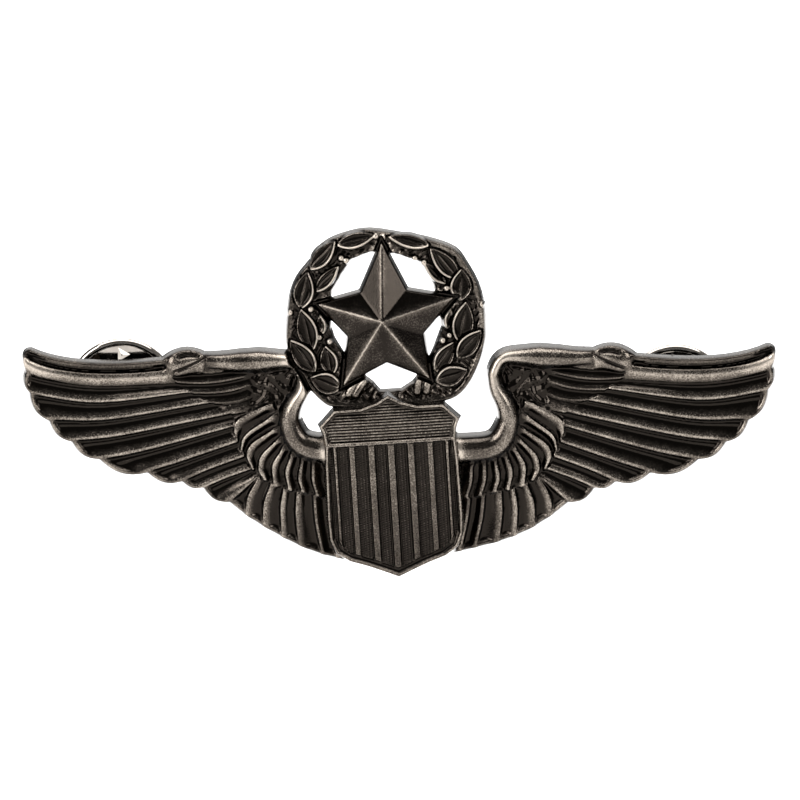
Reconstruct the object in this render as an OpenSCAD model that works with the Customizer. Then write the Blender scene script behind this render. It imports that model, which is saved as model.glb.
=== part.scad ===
// Pilot wings pin: a pierced and applied metal badge with two pin posts and two butterfly clutches.
// Row frame: +X to the wearer's left as seen from the front, +Z up as worn, and the front faces -Y.
// The origin lies on the flat back, midway between the two pin posts.

/* [Wings] */
// Span from wing tip to wing tip
wing_span = 76.2; // [74:0.1:80]
// Thickness of the wings' backing plate
wing_plate = 1.2; // [1:0.05:1.5]
// Height of the feather ribs over the backing plate
rib_rise = 0.6; // [0.4:0.05:0.8]
// Thickness of the tubular leading arms, from the back
arm_height = 2.6; // [2.2:0.05:3]

/* [Centre device] */
// Lean of the shield, wreath and star to the left, in degrees
device_lean = 3.6; // [0:0.1:4]
// Thickness of the web that the shield is soldered to
web_plate = 1.0; // [0.8:0.05:1.1]
// Height of the shield's face at its edge, from the back
shield_face = 2.3; // [2.2:0.05:2.6]
// Height of the shield's rim and bars over its face
shield_rim = 0.25; // [0.2:0.05:0.4]
// Thickness of the wreath's ring
wreath_plate = 1.4; // [1.2:0.05:1.6]
// Height of the laurel leaves over the ring
leaf_rise = 0.6; // [0.4:0.05:0.8]
// Height of the star at its middle, from the back
star_peak = 3.5; // [3:0.1:3.8]
// Radius of the star's points
star_radius = 7.8; // [7.6:0.1:8]

/* [Pin posts] */
// Distance between the two posts
post_spacing = 56.1; // [54:0.1:58]
// Height of the left post over the origin, and of the right one under it
post_stagger = 0.3; // [0:0.05:0.5]
// Radius of a post's shank
post_radius = 0.5; // [0.45:0.01:0.55]
// Length of a post behind the badge
post_length = 6.7; // [6.6:0.05:6.8]

/* [Clutches] */
// Gap for cloth between the badge and a clutch
cloth_gap = 2.6; // [2.5:0.05:2.65]
// Radius of a clutch over its rolled rim
clutch_radius = 5.6; // [5.5:0.05:5.8]
// Radius of the dome on a clutch
dome_radius = 3.3; // [3.25:0.05:3.5]
// Depth of the dome from the clutch's front
dome_depth = 4.6; // [4.55:0.05:5]
// Width of a clutch ear
ear_width = 3.6; // [3:0.1:4]

/* [Hidden] */
$fn = 48;
eps = 0.01;
left = -1;
right = 1;

antique_silver = [0.36, 0.34, 0.32];
dark_silver = [0.22, 0.21, 0.20];
steel = [0.55, 0.55, 0.55];
solder_grey = [0.45, 0.45, 0.44];
black_nickel = [0.20, 0.19, 0.19];

// ---- Helpers ----

// Takes a 2D outline in the badge's plane and gives it a thickness from the back, towards the front (-Y).
module struck(depth, from = 0) {
    translate([0, -from, 0]) rotate([90, 0, 0]) linear_extrude(height = depth) children();
}

function curve(a, b, c, t) = (1 - t) * (1 - t) * a + 2 * t * (1 - t) * b + t * t * c;
function curve_slope(a, b, c, t) = 2 * (1 - t) * (b - a) + 2 * t * (c - b);
function across(v) = [-v[1], v[0]] / norm(v);
// The control point that makes a curve from a to c hang by sag at its middle
function hang(a, c, sag) = (a + c) / 2 + [0, -2 * sag];
// Full width along a blade, then a half-round end
function blunt(t, from) = t < from ? 1 : sqrt(max(0, 1 - pow((t - from) / (1 - from), 2)));

// A curved band from root a to tip c: flat at its root and round at its tip
module blade(a, b, c, half, steps = 10, round_from = 0.9) {
    side = [for (i = [0:steps - 1]) let (t = i / steps)
        curve(a, b, c, t) + across(curve_slope(a, b, c, t)) * half * blunt(t, round_from)];
    back = [for (i = [steps - 1:-1:0]) let (t = i / steps)
        curve(a, b, c, t) - across(curve_slope(a, b, c, t)) * half * blunt(t, round_from)];
    polygon(concat(side, [c], back));
}

// A pointed leaf: two arcs that meet at its ends
module leaf(long, wide) {
    r = (long * long + wide * wide) / (4 * wide);
    intersection() {
        translate([0, r - wide / 2]) circle(r = r);
        translate([0, wide / 2 - r]) circle(r = r);
    }
}

module both_sides() {
    children();
    mirror([1, 0, 0]) children();
}

// ---- Wings ----

span_scale = wing_span / 76.2;

// Where the flight feathers part along the trailing edge, from the innermost one out to the wing tip
partings = [
    [-17.2, -10.5], [-19.9, -9.0], [-22.0, -8.4], [-25.5, -7.5], [-30.4, -6.1], [-33.2, -4.3], [-35.5, -2.1],
    [-37.5, 1.0], [-37.9, 3.3]
];
// How far a feather's round end stands out, as a share of its width
lobe_bulge = 0.15;
// The trailing edge is one bow from the heel, at the shield, to the innermost parting
heel = [-5.5, -16.0];
heel_bend = [-12.2, -14.8];
// The top edge is three bows: round the tip, along the dip and over the knuckle at the wrist
tip_bend = [-38.545, 5.7];
tip_top = [-37.1, 5.65];
dip_bend = [-33.0, 3.7];
dip_end = [-24.0, 4.65];
knuckle_bend = [-21.9, 6.4];
knuckle_end = [-19.6, 5.25];

function bow(a, b, c, steps) = [for (i = [0:steps - 1]) curve(a, b, c, i / steps)];
function lobe(a, b) = [for (t = [0:0.2:0.8])
    a + t * (b - a) + lobe_bulge * norm(b - a) * sin(180 * t) * across(b - a)];

// A flight feather's rib runs from its root to the middle of its round end
primary_roots = [
    [-14.9, -7.4], [-15.5, -6.1], [-16.2, -4.7], [-16.8, -3.2], [-17.5, -1.9], [-18.5, -0.8], [-19.5, 0.5],
    [-21.5, 1.4]
];
primary_tips = [for (i = [0:len(primary_roots) - 1]) (partings[i] + partings[i + 1]) / 2];
top_rib_root = [-23.0, 3.4];
top_rib_tip = [-37.2, 4.2];
primary_rib_half = 0.32;

secondary_roots = [[-14.0, -7.8], [-12.8, -8.4], [-11.5, -8.8], [-10.2, -9.2], [-8.8, -9.4], [-7.6, -9.6]];
secondary_tips = [
    [-15.2, -11.4], [-13.6, -12.6], [-11.9, -13.4], [-10.1, -14.0], [-8.3, -14.4], [-6.9, -14.4]
];
secondary_rib_half = 0.24;

covert_roots = [
    [-13.6, -0.6], [-13.4, -1.8], [-13.1, -3.0], [-12.5, -4.1], [-11.8, -5.0], [-10.8, -5.7], [-9.6, -6.1],
    [-8.3, -6.3]
];
covert_tips = [
    [-16.2, -2.9], [-15.7, -4.5], [-15.1, -6.0], [-13.9, -7.5], [-12.6, -8.1], [-11.1, -8.5], [-10.0, -8.7],
    [-8.7, -9.0]
];
covert_rib_half = 0.26;

upper_covert_tips = [[-22.4, 2.3], [-20.9, 1.0], [-19.2, 0.0], [-17.6, -1.0]];
upper_covert_roots = [[-15.0, 2.9], [-14.6, 2.2], [-14.2, 1.3], [-14.0, 0.3]];

// The arm's centre line runs from the wrist to the shoulder, and turns down in an S to the shield
arm_line = [
    [-22.0, 4.4], [-17.0, 4.3], [-12.4, 4.5], [-10.4, 4.3], [-9.55, 3.0], [-9.6, 2.0], [-9.9, 1.0],
    [-10.5, 0.0], [-10.9, -1.0], [-11.0, -2.0], [-10.4, -3.6], [-9.3, -4.5], [-7.5, -4.8], [-5.5, -4.8]
];
arm_half = [0.8, 0.9, 1.0, 1.2, 1.25, 1.0, 0.8, 0.8, 1.0, 1.2, 1.4, 1.5, 1.55, 1.5];

// The outline of the plate that all the feathers stand on
last_parting = len(partings) - 1;
wing_body_points = concat(
    bow(heel, heel_bend, partings[0], 8),
    [for (i = [0:last_parting - 1]) each lobe(partings[i], partings[i + 1])],
    bow(partings[last_parting], tip_bend, tip_top, 10),
    bow(tip_top, dip_bend, dip_end, 8),
    bow(dip_end, knuckle_bend, knuckle_end, 6),
    [knuckle_end],
    [for (i = [2:len(arm_line) - 1]) arm_line[i]]
);

function arm_side(i, sign) = let (
    before = arm_line[max(i - 1, 0)],
    after = arm_line[min(i + 1, len(arm_line) - 1)]
) arm_line[i] + sign * arm_half[i] * across(after - before);

module arm_outline(trim = 0) {
    last = len(arm_line) - 1;
    offset_by = [for (i = [0:last]) trim * across(arm_line[min(i + 1, last)] - arm_line[max(i - 1, 0)])];
    polygon(concat(
        [for (i = [0:last]) arm_side(i, 1) - offset_by[i]],
        [for (i = [last:-1:0]) arm_side(i, -1) + offset_by[i]]
    ));
}

module primary_rib(root, tip, sag) {
    blade(root, hang(root, tip, sag), tip, primary_rib_half);
}

module wing_outline() {
    scale([span_scale, 1]) {
        polygon(wing_body_points);
        arm_outline();
    }
}

module short_feather(root, tip, bend, half) {
    blade(root, (root + tip) / 2 + bend, tip, half, 6, 0.8);
}

module wing_ribs() {
    scale([span_scale, 1]) {
        primary_rib(top_rib_root, top_rib_tip, 1.0);
        for (i = [0:len(primary_roots) - 1]) primary_rib(primary_roots[i], primary_tips[i], 0.2 + 0.1 * i);
        for (i = [0:len(secondary_tips) - 1])
            short_feather(secondary_roots[i], secondary_tips[i], [-0.35, 0], secondary_rib_half);
        for (i = [0:len(covert_tips) - 1])
            short_feather(covert_roots[i], covert_tips[i], [-0.8 + 0.1 * i, 0], covert_rib_half);
        for (i = [0:len(upper_covert_tips) - 1])
            short_feather(upper_covert_roots[i], upper_covert_tips[i], [0, -0.5], covert_rib_half);
    }
}

// ---- Centre device ----

axis_foot = [-1.1, 0];

module device_frame() {
    translate(axis_foot) rotate(device_lean) children();
}

// The right half of the shield, from its peak round to its point
shield_half_points = [
    [0, 1.1], [1.3, 0.35], [2.9, -0.15], [5.6, -0.2], [7.3, -1.9], [6.9, -2.8], [6.75, -3.8], [6.9, -6.0],
    [7.0, -11.5], [6.9, -13.6], [6.3, -15.1], [4.9, -16.0], [3.1, -16.6], [1.5, -17.25], [0, -17.9]
];

module shield_outline() {
    last = len(shield_half_points) - 1;
    polygon(concat(
        shield_half_points,
        [for (i = [last - 1:-1:1]) [-shield_half_points[i][0], shield_half_points[i][1]]]
    ));
}

module shield_field(edge) {
    middle = [0, -8];
    factor = 1 - edge / 7;
    translate(middle) scale(factor) translate(-middle) shield_outline();
}

bar_places = [0, 2.0, 3.95, 5.65];
bar_widths = [0.62, 0.6, 0.52, 0.3];
chief_line = -3.9;

// The wreath is a rounded squarish ring that the leaves stand on
wreath_points = [
    [-0.8, 17.7], [2.2, 17.1], [5.1, 16.4], [7.8, 15.2], [9.0, 13.4], [9.9, 11.5], [10.4, 9.3], [10.4, 7.0],
    [10.3, 5.6], [9.6, 3.4], [8.3, 1.1], [6.5, -0.3], [3.0, -0.7], [-2.5, -0.7], [-5.6, -0.4], [-6.9, 0.4],
    [-8.0, 1.8], [-8.6, 3.1], [-9.6, 4.7], [-10.0, 6.7], [-9.8, 8.9], [-9.4, 11.2], [-8.5, 13.2],
    [-7.0, 14.9], [-5.4, 16.6], [-3.3, 17.4]
];
// Its opening, which the star's arms part into five
wreath_hole_points = [
    [0.4, 15.1], [1.9, 14.7], [4.0, 13.8], [5.2, 11.6], [5.6, 9.6], [5.8, 7.3], [4.8, 5.0], [3.9, 3.4],
    [2.6, 1.9], [1.4, 1.2], [-0.7, 1.2], [-1.4, 2.1], [-2.8, 3.3], [-4.0, 5.0], [-4.9, 6.7], [-5.2, 7.8],
    [-5.3, 9.8], [-4.8, 11.6], [-3.7, 13.2], [-2.7, 14.5], [-0.9, 15.1]
];

module wreath_disc() {
    polygon(wreath_points);
}

module wreath_hole() {
    polygon(wreath_hole_points);
}

// Root, tip and width of each leaf, up the left branch and then up the right one
leaves = [
    [[-4.6, 1.7], [-7.8, 3.0], 1.9], [[-7.1, 3.5], [-9.5, 7.0], 1.8], [[-5.4, 3.1], [-6.0, 6.2], 1.6],
    [[-7.2, 5.7], [-8.2, 10.1], 1.8], [[-6.1, 7.3], [-6.3, 9.4], 0.9], [[-8.2, 10.0], [-7.2, 13.8], 1.8],
    [[-6.6, 11.6], [-4.0, 14.2], 1.2], [[-7.0, 13.9], [-4.2, 16.7], 1.6], [[-4.2, 16.2], [-0.1, 17.0], 1.4],
    [[4.9, 1.8], [8.3, 2.8], 1.8], [[7.2, 4.0], [9.9, 6.8], 1.7], [[4.9, 2.8], [7.1, 5.8], 1.6],
    [[7.6, 5.5], [8.5, 9.8], 1.9], [[6.4, 7.0], [6.9, 9.2], 0.9], [[7.9, 9.8], [8.2, 13.1], 1.9],
    [[6.6, 11.6], [4.4, 14.0], 1.1], [[7.9, 12.0], [5.1, 15.4], 1.6], [[5.2, 15.6], [0.9, 16.8], 1.3]
];
berries = [
    [-3.3, 14.6], [-7.2, 9.9], [-9.3, 9.7], [-6.5, 7.0], [-5.5, 6.5], [3.6, 14.4], [4.5, 13.9], [6.6, 11.2],
    [6.6, 6.4], [5.9, 5.9]
];
berry_radius = 0.34;

// The star is turned back a little from the device's lean, and its ridges meet off its middle
star_middle = [0.2, 8.0];
star_turn = -1.1;
star_apex = [-0.3, 0.4];
star_inner = 4.25;
// How much longer each arm is than the radius, from the top one round to the left
star_arms = [0.9, -0.3, 0.3, -0.1, 0];
star_edge = 1.2;

function star_reach(i) = i % 2 == 0 ? star_radius + star_arms[i / 2] : star_inner;
function star_corner(i, grow = 0) = (star_reach(i) + grow) * [cos(90 + 36 * i), sin(90 + 36 * i)];

module star_outline(grow = 0) {
    translate(star_middle) rotate(star_turn) polygon([for (i = [0:9])
        star_corner(i, grow)]);
}

// The web behind the shield joins the two wings and carries the solder
module web_outline() {
    device_frame() shield_field(0.5);
}

// ---- Badge nodes ----

module wings() {
    color(antique_silver) difference() {
        union() {
            difference() {
                both_sides() {
                    struck(wing_plate) wing_outline();
                    struck(wing_plate + rib_rise) wing_ribs();
                    struck(arm_height - 0.5) scale([span_scale, 1]) arm_outline();
                    struck(arm_height) scale([span_scale, 1]) arm_outline(0.35);
                }
                struck(2 * arm_height, -eps) device_frame() {
                    wreath_disc();
                    foliage();
                }
                struck(2 * arm_height, web_plate) device_frame() shield_outline();
            }
            struck(web_plate) web_outline();
        }
        for (side = [left, right]) post_socket(side);
    }
}

module shield() {
    // The face swells towards its middle in steps that the finished badge smooths out
    color(antique_silver) union() {
        struck(shield_face - web_plate, web_plate) device_frame() shield_outline();
        struck(shield_face + 0.3 - web_plate, web_plate) device_frame() intersection() {
            shield_field(0.9);
            translate([-4.4, -30]) square([8.8, 40]);
        }
        struck(shield_face + shield_rim - web_plate, web_plate) device_frame() difference() {
            shield_outline();
            shield_field(0.35);
        }
        struck(shield_face + 0.3 + shield_rim - web_plate, web_plate) device_frame() intersection() {
            shield_field(0.2);
            union() {
                for (i = [0:3], side = [left, right])
                    translate([side * bar_places[i] - bar_widths[i] / 2, -30])
                        square([bar_widths[i], 30 + chief_line]);
                translate([-8, chief_line - 0.15]) square([16, 0.3]);
            }
        }
    }
}

module foliage() {
    for (l = leaves) let (way = l[1] - l[0])
        translate((l[0] + l[1]) / 2) rotate(atan2(way[1], way[0])) leaf(norm(way), l[2]);
    for (b = berries) translate(b) circle(r = berry_radius, $fn = 16);
}

module laurel_wreath() {
    color(dark_silver) difference() {
        union() {
            struck(wreath_plate) device_frame() difference() {
                wreath_disc();
                wreath_hole();
            }
            struck(wreath_plate + leaf_rise) device_frame() foliage();
        }
        struck(2 * star_peak, -eps) device_frame() star_outline();
        struck(2 * star_peak, -eps) web_outline();
        struck(2 * star_peak, web_plate) device_frame() shield_outline();
    }
}

// A five-pointed star with ridged arms that rise to the middle
module star() {
    ring = [for (i = [0:9]) star_corner(i)];
    points = concat(
        [for (p = ring) [p[0], p[1], 0]],
        [for (p = ring) [p[0], p[1], star_edge]],
        [[0, 0, 0], [star_apex[0], star_apex[1], star_peak]]
    );
    faces = concat(
        [for (i = [0:9]) [20, i, (i + 1) % 10]],
        [for (i = [0:9]) [i, 10 + i, 10 + (i + 1) % 10]],
        [for (i = [0:9]) [i, 10 + (i + 1) % 10, (i + 1) % 10]],
        [for (i = [0:9]) [10 + i, 21, 10 + (i + 1) % 10]]
    );
    color(antique_silver) rotate([90, 0, 0]) translate([axis_foot[0], axis_foot[1], 0]) rotate(device_lean)
        translate([star_middle[0], star_middle[1], 0]) rotate(star_turn)
            polyhedron(points = points, faces = faces);
}

// ---- Pin posts ----

socket_radius = 2.0;
socket_depth = 0.4;
head_radius = 1.5;
solder_cover = 0.05;
groove_radius = 0.34;
cloth_groove = [2.3, 2.9];
snap_groove = [3.85, 4.45];
point_start = post_length - 0.8;

function post_place(side, depth = 0) = [side * post_spacing / 2, depth, -side * post_stagger];

// Turns a profile of radius and distance behind the badge about a post's axis
module turned(side) {
    translate(post_place(side)) rotate([-90, 0, 0]) rotate_extrude() children();
}

module post_socket(side) {
    translate(post_place(side, -socket_depth)) rotate([-90, 0, 0])
        cylinder(r = socket_radius, h = socket_depth + 1);
}

module pin_post(side) {
    color(steel) turned(side) polygon([
        [0, -socket_depth], [head_radius, -socket_depth], [head_radius, -solder_cover],
        [post_radius, -solder_cover],
        [post_radius, cloth_groove[0]], [groove_radius, cloth_groove[0] + 0.1],
        [groove_radius, cloth_groove[1] - 0.1], [post_radius, cloth_groove[1]],
        [post_radius, snap_groove[0]], [groove_radius, snap_groove[0] + 0.1],
        [groove_radius, snap_groove[1] - 0.1], [post_radius, snap_groove[1]],
        [post_radius, point_start], [0.06, post_length], [0, post_length]
    ]);
}

module solder_ring(side) {
    color(solder_grey) turned(side) polygon([
        [post_radius, -solder_cover], [head_radius, -solder_cover], [head_radius, -socket_depth],
        [socket_radius, -socket_depth], [socket_radius, 0], [post_radius, 0]
    ]);
}

// ---- Butterfly clutches ----

plate_thick = 0.35;
sheet = 0.3;
turn_gap = 0.02;
plate_radius = clutch_radius - 0.45;
rim_roll = 0.45;
plate_hole = 0.7;
prong_count = 8;
prong_ring = 4.0;
window_from = 1.9;
window_to = 3.4;
seat_from = 0.40;
seat_thick = 0.2;
strip = 0.28;
fold_at = [2.3, 0.85];
strip_inner = 0.12;
strip_outer = 1.45;
// The bent strip, from its fold through the window to the tip of the ear, as distance across and depth
arm_bends = [fold_at, [-3.4, 2.4], [-4.2, 3.1], [-4.75, 5.8]];

// Places a clutch part: depth runs along +Y from the clutch's front
module clutch_frame(side) {
    translate(post_place(side, cloth_gap)) children();
}

module clutch_turned() {
    rotate([-90, 0, 0]) rotate_extrude($fn = 72) children();
}

module clutch_plate(side) {
    color(black_nickel) clutch_frame(side) {
        clutch_turned() polygon([
            [plate_hole + 0.3, 0], [plate_radius, 0], [plate_radius, plate_thick], [plate_hole, plate_thick],
            [plate_hole, plate_thick - 0.1]
        ]);
        for (i = [0:prong_count - 1])
            rotate([0, 360 / prong_count * i, 0]) translate([0, eps, prong_ring]) rotate([90, 0, 0])
                cylinder(r1 = 0.85, r2 = 0.12, h = 0.3 + eps, $fn = 3);
    }
}

// Half of the dome's wall in section, from its shoulder to its middle
function dome_curve(r, top, round_by) = concat(
    [for (a = [0:15:90]) [r - round_by + round_by * cos(a), top - round_by + round_by * sin(a)]], [[0, top]]
);
function reversed(list) = [for (i = [len(list) - 1:-1:0]) list[i]];

module clutch_cap(side) {
    flange_front = plate_thick + turn_gap;
    roll_middle = [plate_radius, 0.3];
    // The rim is rolled over the plate's edge, and the flange and the dome follow from it
    roll = [for (a = [-130:12.5:120]) roll_middle + rim_roll * [cos(a), sin(a)]];
    color(black_nickel) clutch_frame(side) difference() {
        clutch_turned() polygon(concat(
            roll,
            [[dome_radius, flange_front + sheet]],
            dome_curve(dome_radius, dome_depth, 0.9),
            reversed(dome_curve(dome_radius - sheet, dome_depth - sheet, 0.6)),
            [[dome_radius - sheet, flange_front], [plate_radius + turn_gap, flange_front],
            [plate_radius + turn_gap, -turn_gap], [roll[0][0], -turn_gap]]
        ));
        for (s = [left, right])
            translate([s * dome_radius - 0.75, window_from, -1.7]) cube([1.5, window_to - window_from, 3.4]);
    }
}

module spring_seat(side) {
    color(black_nickel) clutch_frame(side) difference() {
        translate([-2.5, seat_from, -1.4]) cube([5, seat_thick, 2.8]);
        translate([0, seat_from - 1, 0]) rotate([-90, 0, 0]) cylinder(r = plate_hole, h = 2);
    }
}

// A strip of even thickness along a bent line
function bend_side(line, i, sign) = let (
    last = len(line) - 1,
    d0 = across(line[min(i + 1, last)] - line[min(i, last - 1)]),
    d1 = across(line[max(i, 1)] - line[max(i - 1, 0)]),
    m = (d0 + d1) / norm(d0 + d1)
) line[i] + sign * strip / 2 / (m * d0) * m;

module strip_section(line) {
    polygon(concat(
        [for (i = [0:len(line) - 1]) bend_side(line, i, 1)],
        [for (i = [len(line) - 1:-1:0]) bend_side(line, i, -1)]
    ));
}

module spring_arm() {
    // The inner run lies on one side of the post, so that the two arms cross without touching
    difference() {
        union() {
            translate([0, 0, strip_inner]) linear_extrude(height = strip_outer - strip_inner) {
                strip_section([arm_bends[0], arm_bends[1]]);
                translate(fold_at) circle(r = 0.2, $fn = 24);
            }
            intersection() {
                translate([0, 0, -ear_width / 2]) linear_extrude(height = ear_width)
                    strip_section([arm_bends[1] + [0.02, -0.005], arm_bends[1], arm_bends[2], arm_bends[3]]);
                ear_blank();
            }
        }
        rotate([-90, 0, 0]) cylinder(r = plate_hole, h = 5);
    }
}

// The ear is narrow at the window and has round corners at its tip
module ear_blank() {
    neck = 1.3;
    tip = arm_bends[3][1] + strip;
    translate([-8, 0, 0]) rotate([90, 0, 90]) linear_extrude(height = 8) union() {
        translate([2.0, -neck]) square([1.2, 2 * neck]);
        translate([3.0, -ear_width / 2]) square([tip - 1.0 - 3.0, ear_width]);
        translate([tip - 1.1, 1 - ear_width / 2]) square([1.1, ear_width - 2]);
        for (s = [left, right]) translate([tip - 1.0, s * (ear_width / 2 - 1)]) circle(r = 1, $fn = 32);
    }
}

module spring_arm_a(side) {
    color(black_nickel) clutch_frame(side) spring_arm();
}

module spring_arm_b(side) {
    color(black_nickel) clutch_frame(side) rotate([0, 180, 0]) spring_arm();
}

wings();
shield();
laurel_wreath();
star();
pin_post(left);  // left_pin_post
pin_post(right);  // right_pin_post
solder_ring(left);  // left_solder_ring
solder_ring(right);  // right_solder_ring
clutch_plate(left);  // left_clutch_plate
clutch_cap(left);  // left_clutch_cap
spring_seat(left);  // left_spring_seat
spring_arm_a(left);  // left_spring_arm_a
spring_arm_b(left);  // left_spring_arm_b
clutch_plate(right);  // right_clutch_plate
clutch_cap(right);  // right_clutch_cap
spring_seat(right);  // right_spring_seat
spring_arm_a(right);  // right_spring_arm_a
spring_arm_b(right);  // right_spring_arm_b
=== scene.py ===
"""Pilot wings pin: the cast relief of the badge, its posts and its butterfly clutches, round the CAD frame.

All shapes are worked out in millimetres in the badge's plane (x to the viewer's right, z up, height towards
the front), and go to metres only where a mesh is made.
"""

import math

import bpy
import numpy as np
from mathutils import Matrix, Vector
from mathutils.geometry import delaunay_2d_cdt


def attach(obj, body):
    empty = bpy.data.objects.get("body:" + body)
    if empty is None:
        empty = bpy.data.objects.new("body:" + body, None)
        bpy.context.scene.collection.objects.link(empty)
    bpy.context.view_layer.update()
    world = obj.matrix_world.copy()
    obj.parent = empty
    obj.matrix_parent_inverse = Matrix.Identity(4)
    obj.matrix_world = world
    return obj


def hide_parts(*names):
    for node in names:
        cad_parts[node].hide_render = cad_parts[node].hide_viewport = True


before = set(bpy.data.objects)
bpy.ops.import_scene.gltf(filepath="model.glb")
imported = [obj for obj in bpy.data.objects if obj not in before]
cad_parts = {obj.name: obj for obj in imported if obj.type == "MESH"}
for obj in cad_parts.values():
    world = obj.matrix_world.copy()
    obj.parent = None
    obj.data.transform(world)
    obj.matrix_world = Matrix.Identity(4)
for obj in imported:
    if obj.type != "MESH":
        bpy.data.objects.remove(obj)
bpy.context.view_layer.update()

MM = 0.001

# ---- Driving dimensions, in mm, as in the CAD ----

SPAN = 76.2
POST_X = 28.05
POST_STAGGER = 0.3
POST_PLACES = [np.array([-POST_X, POST_STAGGER]), np.array([POST_X, -POST_STAGGER])]
SOCKET_RADIUS = 2.0
SOCKET_DEPTH = 0.4
WEB = 1.0
ARM_HEIGHT = 2.6
DEVICE_LEAN = 3.6
DEVICE_FOOT = (-1.1, 0.0)
STAR_MIDDLE = (0.2, 8.0)
STAR_TURN = -1.1
STAR_APEX = (-0.3, 0.4)
STAR_RADIUS = 7.8
STAR_INNER = 4.25
# How much longer or shorter each arm of the star is, anticlockwise from the top one
STAR_ARMS = (0.9, -0.3, 0.3, -0.1, 0.0)

# ---- Dimensions that only this model has, in mm ----

FLOOR_HEIGHT = 1.08
FEATHER_RISE = 0.46
RING_HEIGHT = 1.18
LEAF_HEIGHT = 1.26
STAR_EDGE = 1.15
STAR_PEAK = 3.4
# The height of a casting's walls at its outline
LIP = 0.06
# How far the right wing rides up and the left one down, at the top edge and beside the shield
SIDE_LIFT = 0.22
HEEL_LIFT = 0.35
# How far the arms run in under the wreath, and the wreath under the star and the shield
ARM_TUCK = 0.25
STAR_TUCK = 0.12
SHIELD_TUCK = 0.22
# The heights to which the arms sink beside the wreath, and the wreath beside the star
ARM_GROOVE = 1.0
RING_GROOVE = 0.75
SOCKET_SIDES = 48
# The steps of the reliefs' grids
WINGS_STEP = 0.1
SHIELD_STEP = 0.055
RING_STEP = 0.065

# ---- Wear and painted light and shade, from 0 (blackened) to 1 (polished) ----

PLAIN_WEAR = 0.45
WALL_WEAR = 0.56
# How far a place stands proud, in mm, for a full step of wear
FULL_PROUD = 0.62
# Edges sharper than this, in degrees, aren't shaded smooth
SHARP_ANGLE = 75


# ---- Small numeric helpers ----


def smoothstep(low, high, v):
    t = np.clip((v - low) / (high - low), 0, 1)
    return t * t * (3 - 2 * t)


def smooth_line(points, per=8, closed=False):
    """A Catmull-Rom curve through the points."""
    p = np.asarray(points, float)
    if closed:
        p = np.vstack([p[-1], p, p[:2]])
    else:
        p = np.vstack([2 * p[0] - p[1], p, 2 * p[-1] - p[-2]])
    out = []
    for a, b, c, d in zip(p[:-3], p[1:-2], p[2:-1], p[3:]):
        squared = 2 * a - 5 * b + 4 * c - d
        cubed = 3 * b - a - 3 * c + d
        for t in np.arange(per) / per:
            out.append(0.5 * (2 * b + (c - a) * t + squared * t**2 + cubed * t**3))
    if not closed:
        out.append(p[-2])
    return np.array(out)


def along(line, x, z):
    """Distance to a bent line, the side (+1 is left of its direction) and the place along it from 0 to 1."""
    line = np.asarray(line, float)
    steps = line[1:] - line[:-1]
    lengths = np.hypot(steps[:, 0], steps[:, 1])
    starts = np.concatenate([[0], np.cumsum(lengths)])
    best = np.full(x.shape, np.inf)
    side = np.zeros(x.shape)
    place = np.zeros(x.shape)
    for a, d, n, s in zip(line[:-1], steps, lengths, starts):
        rx, rz = x - a[0], z - a[1]
        t = np.clip((rx * d[0] + rz * d[1]) / n**2, 0, 1)
        dist = np.hypot(rx - t * d[0], rz - t * d[1])
        near = dist < best
        best = np.where(near, dist, best)
        side = np.where(near, np.sign(d[0] * rz - d[1] * rx), side)
        place = np.where(near, (s + t * n) / starts[-1], place)
    return best, side, place


def inside_outline(outline, x, z):
    """Distance to a closed outline: positive inside, negative outside."""
    p = np.asarray(outline, float)
    best = np.full(x.shape, np.inf)
    odd = np.zeros(x.shape, bool)
    for a, b in zip(p, np.roll(p, -1, axis=0)):
        d = b - a
        rx, rz = x - a[0], z - a[1]
        t = np.clip((rx * d[0] + rz * d[1]) / (d @ d), 0, 1)
        best = np.minimum(best, np.hypot(rx - t * d[0], rz - t * d[1]))
        if d[1] != 0:
            odd ^= ((a[1] > z) != (b[1] > z)) & (rx < d[0] * rz / d[1])
    return np.where(odd, best, -best)


def blur(field, radius):
    """Gaussian blur, with the radius in grid steps."""
    if radius <= 0:
        return field
    reach = int(math.ceil(3 * radius))
    offsets = np.arange(-reach, reach + 1)
    weights = np.exp(-0.5 * (offsets / radius) ** 2)
    weights /= weights.sum()
    for axis in (0, 1):
        pad = [(reach, reach) if a == axis else (0, 0) for a in (0, 1)]
        padded = np.pad(field, pad, mode="edge")
        size = field.shape[axis]
        field = sum(w * np.take(padded, np.arange(k, k + size), axis=axis) for k, w in enumerate(weights))
    return field


class Relief:
    """Heights over a grid in the badge's plane, built up by raising shapes out of a floor."""

    def __init__(self, low, high, step):
        self.step = step
        xs = np.arange(low[0], high[0] + step, step)
        zs = np.arange(low[1], high[1] + step, step)
        self.x, self.z = np.meshgrid(xs, zs)
        self.height = np.zeros(self.x.shape)
        # Each place's own rubbing, with the painted light and shade, as a shift of its wear
        self.rub_and_shading = np.zeros(self.x.shape)

    def soften(self, mm):
        self.height = blur(self.height, mm / self.step)

    def wear_and_shading(self, reach=0.45):
        """How worn each place is, from 0 to 1, by how proud it stands and by its own share of rubbing, with
        the painted light and shade added.
        """
        proud = self.height - blur(self.height, reach / self.step)
        return np.clip(PLAIN_WEAR + proud / FULL_PROUD + self.rub_and_shading, 0, 1)


# ---- Meshes from reliefs ----

# The corners (a to d) and cut edges (0 to 3) round the solid part of a grid cell, by which corners are in
CELL_CASES = {
    1: ["a03"], 2: ["b10"], 3: ["ab13"], 4: ["c21"], 5: ["a03", "c21"], 6: ["bc20"], 7: ["abc23"],
    8: ["d32"], 9: ["a02d"], 10: ["b10", "d32"], 11: ["ab12d"], 12: ["cd31"], 13: ["a01cd"],
    14: ["bcd30"], 15: ["abcd"],
}


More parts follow.
